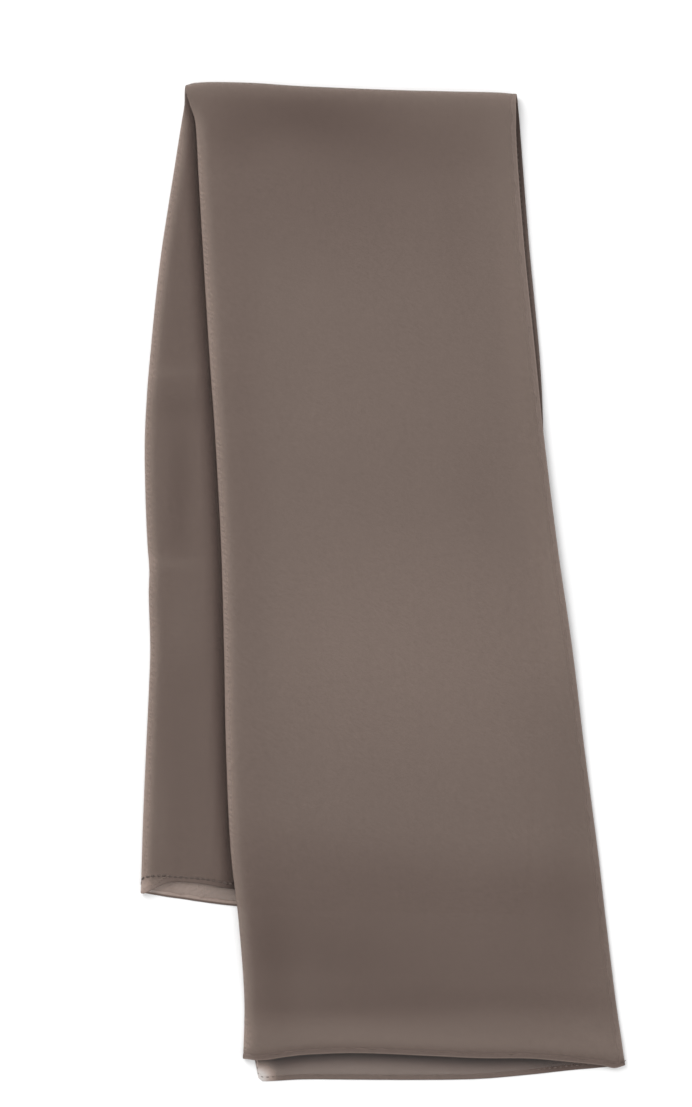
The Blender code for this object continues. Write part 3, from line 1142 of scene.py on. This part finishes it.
@dataclass
class HemBand:
    """A narrow turned hem: a band along one edge of the cut, flush at its seam and fuller at its edge."""

    lay: FoldedLay
    divisions: Divisions
    finish: ChiffonFinish
    node: str
    layer: Layer | None = None
    stretch: Stretch | None = None
    seam_thickness: float = 0.38 * MM
    edge_thickness: float = 0.84 * MM
    starts_past: float = 1.2 * MM
    seam_in: float = 1.1 * MM
    across_shares: tuple[float, ...] = (0.0, 0.05, 0.25, 0.5, 0.68, 0.84, 0.94, 1.0)
    outer_tones: HemTones = HemTones()
    inner_tones: HemTones = HemTones()
    seam_rises: tuple[Rise, ...] = ()
    seam_tone_over: float = 0.45
    edge_tone_over: float = 0.14
    fills_out_by: float = 1.2
    squareness: int = 6
    pucker: float = 0.14 * MM
    pucker_length: float = 23 * MM
    pucker_starts: float = 1.7
    swell: tuple[float, float] = (0.6, 0.4)
    swell_length: float = 71 * MM
    swell_starts: float = 0.4
    seam_half_width: float = 0.5 * MM

    @property
    def name(self) -> str:
        """The band's name, from the solid that it stands for."""
        return self.node.replace("_hem", "_hem_band")

    def grid(self, past: np.ndarray) -> tuple[np.ndarray, np.ndarray]:
        """Points and tones of the band's middle, along the hem by across it.

        Args:
            past: Distances past the hem's seam with the panel.

        Returns:
            The points, as along by across by x, y, z, and the tone of each.
        """
        whole = (self.lay.hem_width / 2, self.lay.hem_width)
        outer, inner = self.across_tones(self.outer_tones, past), self.across_tones(self.inner_tones, past)
        if self.layer is not None:
            flat = np.full(len(past), self.layer.value)
            columns = Columns(flat, np.ones(len(past)), past)
            points, tones = self.lay.bend(columns, self.divisions.length(whole[:1]))
            return points, tones * mix(outer, inner, self.layer.value)
        rows = Rows(self.stretch, np.ones(len(past)), past)
        columns = self.divisions.columns(whole)
        points, tones = self.lay.bend(columns, [rows])
        return points.transpose(1, 0, 2), tones.T * mix(outer, inner, columns.layer[:, None])

    def across_tones(self, tones: HemTones, past: np.ndarray) -> np.ndarray:
        """The painted tone across the hem, from its sewn line to its outer edge.

        Args:
            tones: The tones of the hem on one layer.
            past: Distances past the hem's seam with the panel.

        Returns:
            The factor at each distance.
        """
        share = np.clip((past - self.starts_past) / (self.lay.hem_width - self.starts_past), 0.0, 1.0)
        near_seam = ease(1 - share / self.seam_tone_over)
        near_edge = ease((share - tones.edge_from) / self.edge_tone_over)
        to_seam, to_edge = tones.seam - tones.middle, tones.edge - tones.middle
        return tones.middle + to_seam * near_seam + to_edge * near_edge

    def mesh(self) -> bpy.types.Mesh:
        """The band as a closed tube of flattened oval sections.

        Returns:
            The mesh.
        """
        share = np.array(self.across_shares)
        past = mix(self.starts_past, self.lay.hem_width, share)
        middle, tones = self.grid(past)
        facing = normals_of(middle)
        length = lengths_along(middle, 0)
        ripple = np.sin(math.tau * length / self.pucker_length + self.pucker_starts)
        mean, spread = self.swell
        swell = mean + spread * np.sin(math.tau * length / self.swell_length + self.swell_starts)
        middle = middle + facing * (self.pucker * ripple * swell)[:, None, None]
        fullness = mix(self.seam_thickness, self.edge_thickness, ease(share * self.fills_out_by))
        half = fullness / 2 * np.sqrt(1 - np.abs(2 * share - 1) ** self.squareness)
        upper = middle + facing * half[:, None]
        lower = middle - facing * half[:, None]
        ring = np.concatenate([upper, lower[:, -2:0:-1]], axis=1)
        over = np.r_[np.arange(len(past)), np.arange(len(past) - 2, 0, -1)]
        along, around = ring.shape[:2]
        index = np.arange(along * around).reshape(along, around)
        onward = np.roll(index, -1, axis=1)
        sides = np.stack([index[:-1], onward[:-1], onward[1:], index[1:]], -1).reshape(-1, 4)
        faces = sides.tolist() + self.caps(index)
        cut = np.stack(np.broadcast_arrays(past[over][None, :], length[:, None]), -1).reshape(-1, 2)
        mesh = mesh_from(self.name, ring.reshape(-1, 3), faces, cut, tones[:, over].ravel())
        shell = bmesh.new()
        shell.from_mesh(mesh)
        bmesh.ops.recalc_face_normals(shell, faces=shell.faces)
        shell.to_mesh(mesh)
        shell.free()
        return mesh

    def caps(self, index: np.ndarray) -> list[list[int]]:
        """The faces that close both ends of the band.

        Args:
            index: The numbers of the band's points, along it by round it.

        Returns:
            The faces, as lists of point numbers.
        """
        faces = []
        last = index.shape[1]
        for ring in (index[0], index[-1]):
            for i in range(len(self.across_shares) - 1):
                corners = [ring[i], ring[i + 1], ring[(last - i - 1) % last], ring[(last - i) % last]]
                faces.append(list(dict.fromkeys(int(corner) for corner in corners)))
        return faces

    def build(self) -> bpy.types.Object:
        """Makes the band and dresses it.

        Returns:
            The band, riding on the scarf's body in place of its solid.
        """
        mesh = self.mesh()
        mesh.materials.append(self.finish.material())
        piece = placed(self.name, mesh)
        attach(piece, "root")
        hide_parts(self.node)
        log.info("%s: %d faces", self.name, len(mesh.polygons))
        return piece

    def seam_line(self, lift: float) -> tuple[np.ndarray, np.ndarray]:
        """The line that the hem is sewn along, and the direction that the cloth faces there.

        Args:
            lift: How far the line is from the cloth's middle, on the face of the cloth.

        Returns:
            Points along the line, and the facing direction at each.
        """
        seam = self.starts_past + self.seam_in
        past = np.array([seam - self.seam_half_width, seam, seam + self.seam_half_width])
        if self.seam_rises:
            columns = self.divisions.columns((self.lay.hem_width / 2, self.lay.hem_width))
            up = read(self.seam_rises, "across", self.lay.across(columns), "up") * MM * columns.layer
            risen, _ = self.lay.bend(columns, [Rows(self.stretch, np.ones(len(past)), past[:, None] - up)])
            middle = risen.transpose(1, 0, 2)
        else:
            middle, _ = self.grid(past)
        facing = normals_of(middle)[:, 1]
        return middle[:, 1] - facing * lift, facing


@dataclass
class HemStitches:
    """The running stitches that hold one hem down, made with Geometry Nodes along its seam line."""

    band: HemBand
    finish: ThreadFinish
    seed: int
    size: tuple[float, float, float] = (3.0 * MM, 1.0 * MM, 0.5 * MM)
    spacing: float = 5.4 * MM
    uneven: tuple[float, float] = (0.82, 1.12)
    lift: float = 0.2 * MM
    around: int = 8
    rings: int = 5

    @property
    def name(self) -> str:
        """The name of the line of stitches, from the hem that it holds."""
        return self.band.node.replace("_hem", "_hem_stitches")

    def tree(self) -> tuple[bpy.types.NodeTree, dict[str, str]]:
        """Builds the node tree that lays stitches along a line.

        Returns:
            The tree, and the identifier of each of its named inputs.
        """
        tree = bpy.data.node_groups.new("running_stitches", "GeometryNodeTree")
        sockets = tree.interface
        sockets.new_socket("Seam line", in_out="INPUT", socket_type="NodeSocketGeometry")
        named = {
            label: sockets.new_socket(label, in_out="INPUT", socket_type=f"NodeSocket{kind}").identifier
            for label, kind in (
                ("Spacing", "Float"),
                ("Stitch size", "Vector"),
                ("Seed", "Int"),
                ("Thread", "Material"),
            )
        }
        sockets.new_socket("Stitches", in_out="OUTPUT", socket_type="NodeSocketGeometry")
        given = add_node(tree, "NodeGroupInput").outputs
        line = add_node(tree, "GeometryNodeMeshToCurve", {"Mesh": given["Seam line"]})
        spacing = {"Curve": line.outputs["Curve"], "Length": given["Spacing"]}
        spaced = add_node(tree, "GeometryNodeResampleCurve", spacing, mode="LENGTH")

        # One unit across, so that the stitch's size is what scales it
        ball = {"Segments": self.around, "Rings": self.rings, "Radius": 0.5}
        stitch = add_node(tree, "GeometryNodeMeshUVSphere", ball)
        smooth = add_node(tree, "GeometryNodeSetShadeSmooth", {"Geometry": stitch.outputs["Mesh"]})

        facing = add_node(
            tree, "GeometryNodeInputNamedAttribute", {"Name": FACE_UP}, data_type="FLOAT_VECTOR"
        ).outputs["Attribute"]
        upright = add_node(tree, "FunctionNodeAlignRotationToVector", {"Vector": facing}, axis="Z")
        tangent = add_node(tree, "GeometryNodeInputTangent").outputs["Tangent"]
        onward = {"Rotation": upright.outputs["Rotation"], "Vector": tangent}
        turned = add_node(tree, "FunctionNodeAlignRotationToVector", onward, axis="X", pivot_axis="Z")

        drawn = add_node(tree, "FunctionNodeRandomValue", {"Seed": given["Seed"]}, data_type="FLOAT")
        low_high = [s for s in drawn.inputs if s.name in ("Min", "Max") and s.type == "VALUE"]
        for socket, end in zip(low_high, self.uneven):
            socket.default_value = end
        share = next(s for s in drawn.outputs if s.type == "VALUE")
        size = {0: given["Stitch size"], "Scale": share}
        sized = add_node(tree, "ShaderNodeVectorMath", size, operation="SCALE")

        laid = {
            "Points": spaced.outputs["Curve"],
            "Instance": smooth.outputs["Geometry"],
            "Rotation": turned.outputs["Rotation"],
            "Scale": sized.outputs["Vector"],
        }
        sewn = add_node(tree, "GeometryNodeInstanceOnPoints", laid)
        real = add_node(tree, "GeometryNodeRealizeInstances", {"Geometry": sewn.outputs["Instances"]})
        thread = {"Geometry": real.outputs["Geometry"], "Material": given["Thread"]}
        dyed = add_node(tree, "GeometryNodeSetMaterial", thread)
        add_node(tree, "NodeGroupOutput", {"Stitches": dyed.outputs["Geometry"]})
        return tree, named

    def build(self) -> bpy.types.Object:
        """Lays the stitches along the hem's seam line.

        Returns:
            The line of stitches, riding on the scarf's body.
        """
        points, facing = self.band.seam_line(self.lift)
        line = bpy.data.meshes.new(self.name)
        line.from_pydata(points.tolist(), [[i, i + 1] for i in range(len(points) - 1)], [])
        up = line.attributes.new(FACE_UP, "FLOAT_VECTOR", "POINT")
        up.data.foreach_set("vector", facing.astype(np.float32).ravel())
        thread = self.finish.material()
        line.materials.append(thread)
        piece = placed(self.name, line)
        tree, named = self.tree()
        sew = piece.modifiers.new("stitches", "NODES")
        sew.node_group = tree
        sew[named["Spacing"]] = self.spacing
        sew[named["Stitch size"]] = self.size
        sew[named["Seed"]] = self.seed
        sew[named["Thread"]] = thread
        piece = made_plain(piece)
        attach(piece, "root")
        log.info("%s: %d faces", self.name, len(piece.data.polygons))
        return piece


@dataclass
class Studio:
    """A pale table top, soft light from beyond the crosswise fold, and the camera straight above."""

    table_size: float = 8.0
    table_tone: float = 0.96
    table_roughness: float = 0.9
    table_specular: float = 0.1
    ambient: float = 0.90
    key_from: tuple[float, float, float] = (-0.55, 0.72, 0.55)
    key_distance: float = 6.0
    key_size: float = 3.8
    key_power: float = 220.0
    lens: float = 85.0
    sensor: float = 36.0
    photo_height: float = 1082.6 * MM
    photo_middle: tuple[float, float] = (-37.2 * MM, 27.9 * MM)
    framed_level: float = 7 * MM
    sees_to: float = 20.0

    def table(self) -> bpy.types.Object:
        """Makes the table top that the scarf lies on.

        Returns:
            The table top, which isn't part of the scarf.
        """
        half = self.table_size / 2
        corners = [(-half, -half, 0.0), (half, -half, 0.0), (half, half, 0.0), (-half, half, 0.0)]
        mesh = bpy.data.meshes.new("table_top")
        mesh.from_pydata(corners, [], [[0, 1, 2, 3]])
        white, shader = new_material("table_white", self.table_roughness)
        tone = (self.table_tone,) * 3 + (1.0,)
        feed(shader, {"Base Color": tone, "Specular IOR Level": self.table_specular})
        mesh.materials.append(white)
        top = placed("table_top", mesh)
        return top

    def light(self) -> None:
        """Sets the even studio light and the large soft key light."""
        scene = bpy.context.scene
        world = bpy.data.worlds.new("studio")
        world.use_nodes = True
        backdrop = world.node_tree.nodes["Background"]
        feed(backdrop, {"Color": (1.0, 1.0, 1.0, 1.0), "Strength": self.ambient})
        scene.world = world
        lamp = bpy.data.lights.new("key_light", "AREA")
        lamp.shape = "DISK"
        lamp.size = self.key_size
        lamp.energy = self.key_power
        key = bpy.data.objects.new("key_light", lamp)
        toward = np.array(self.key_from) / np.linalg.norm(self.key_from)
        key.location = (toward * self.key_distance).tolist()
        key.rotation_mode = "QUATERNION"
        key.rotation_quaternion = key.location.to_track_quat("Z", "Y")
        scene.collection.objects.link(key)
        scene.view_settings.view_transform = "Standard"

    def camera(self) -> None:
        """Sets the camera straight above, framing what the photograph frames."""
        lens = bpy.data.cameras.new("photo_camera")
        lens.lens = self.lens
        lens.sensor_width = self.sensor
        lens.clip_end = self.sees_to
        eye = bpy.data.objects.new("photo_camera", lens)
        away = self.lens / self.sensor * self.photo_height
        eye.location = (*self.photo_middle, away + self.framed_level)
        bpy.context.scene.collection.objects.link(eye)
        bpy.context.scene.camera = eye

    def build(self) -> bpy.types.Object:
        """Makes the table top, the light and the camera.

        Returns:
            The table top.
        """
        self.light()
        self.camera()
        log.info("studio: table top, light and camera")
        return self.table()


@dataclass
class ChiffonScarf:
    """The whole scarf: its cloth, the band of each hem and the stitches that hold it."""

    cut: tuple[float, float] = (0.75, 1.75)
    lay: FoldedLay = field(default_factory=FoldedLay)
    divisions: Divisions = field(default_factory=Divisions)
    cloth_finish: ChiffonFinish = field(default_factory=lambda: ChiffonFinish("chiffon"))
    hem_finish: ChiffonFinish = field(
        default_factory=lambda: ChiffonFinish("chiffon_hem", colour=(0.167, 0.127, 0.109), opacity=0.9)
    )
    thread_finish: ThreadFinish = field(default_factory=ThreadFinish)
    dark_thread_finish: ThreadFinish = field(
        default_factory=lambda: ThreadFinish("hem_thread_dark", colour=(0.058, 0.038, 0.029))
    )
    bold_stitch: tuple[float, float, float] = (4.3 * MM, 2.2 * MM, 0.6 * MM)

    def hems(self) -> list[HemBand]:
        """The four hems: both long edges and both feet."""
        shared = (self.lay, self.divisions, self.hem_finish)
        return [
            HemBand(
                *shared,
                node="outer_long_hem",
                layer=Layer.OUTER,
                # Painted highlight along the long hem's outer edge, on a band a little paler than the cloth
                outer_tones=HemTones(seam=1.06, middle=1.06, edge=1.35),
            ),
            HemBand(*shared, node="inner_long_hem", layer=Layer.INNER),
            HemBand(
                *shared,
                node="front_foot_hem",
                stretch=Stretch.FRONT,
                # Painted highlight along the front foot's outer edge
                outer_tones=HemTones(seam=1.0, middle=0.98, edge=1.3),
                inner_tones=HemTones(seam=0.93, middle=0.92, edge=0.95),
            ),
            HemBand(
                *shared,
                node="back_foot_hem",
                stretch=Stretch.BACK,
                # Painted light on the back foot's outer hem, which lies alone as the strip above it does,
                # with a dark line along its very edge
                outer_tones=HemTones(seam=1.25, middle=1.32, edge=0.5, edge_from=0.56),
                # Painted shade along the inner hem's sewn line, where the seam puckers the cloth
                inner_tones=HemTones(seam=0.86, middle=0.98, edge=1.0),
                seam_rises=BACK_SEAM_RISES,
            ),
        ]

    def stitches(self, band: HemBand, seed: int) -> HemStitches:
        """The stitches of a hem, bold and dark on the back foot, where they show the most.

        Args:
            band: The hem that they hold.
            seed: The seed of their uneven sizes.

        Returns:
            The stitches, not yet laid.
        """
        if band.stretch is Stretch.BACK:
            return HemStitches(band, self.dark_thread_finish, seed, size=self.bold_stitch)
        return HemStitches(band, self.thread_finish, seed)

    def build(self) -> bpy.types.Object:
        """Returns:
            The cloth.
        """
        cloth = ScarfCloth(self.lay, self.divisions, self.cloth_finish).build()
        sewn = []
        for seed, band in enumerate(self.hems()):
            sewn += [band.build(), self.stitches(band, seed).build()]
        return cloth


def main(build_order: Sequence[Callable[[], object]] = (Studio, ChiffonScarf)) -> None:
    """Builds the studio and the scarf.

    Args:
        build_order: The classes to build, in order.
    """
    logging.basicConfig(level=logging.INFO, format="%(name)s %(message)s")
    for part in build_order:
        part().build()


if __name__ == "__main__":
    main()
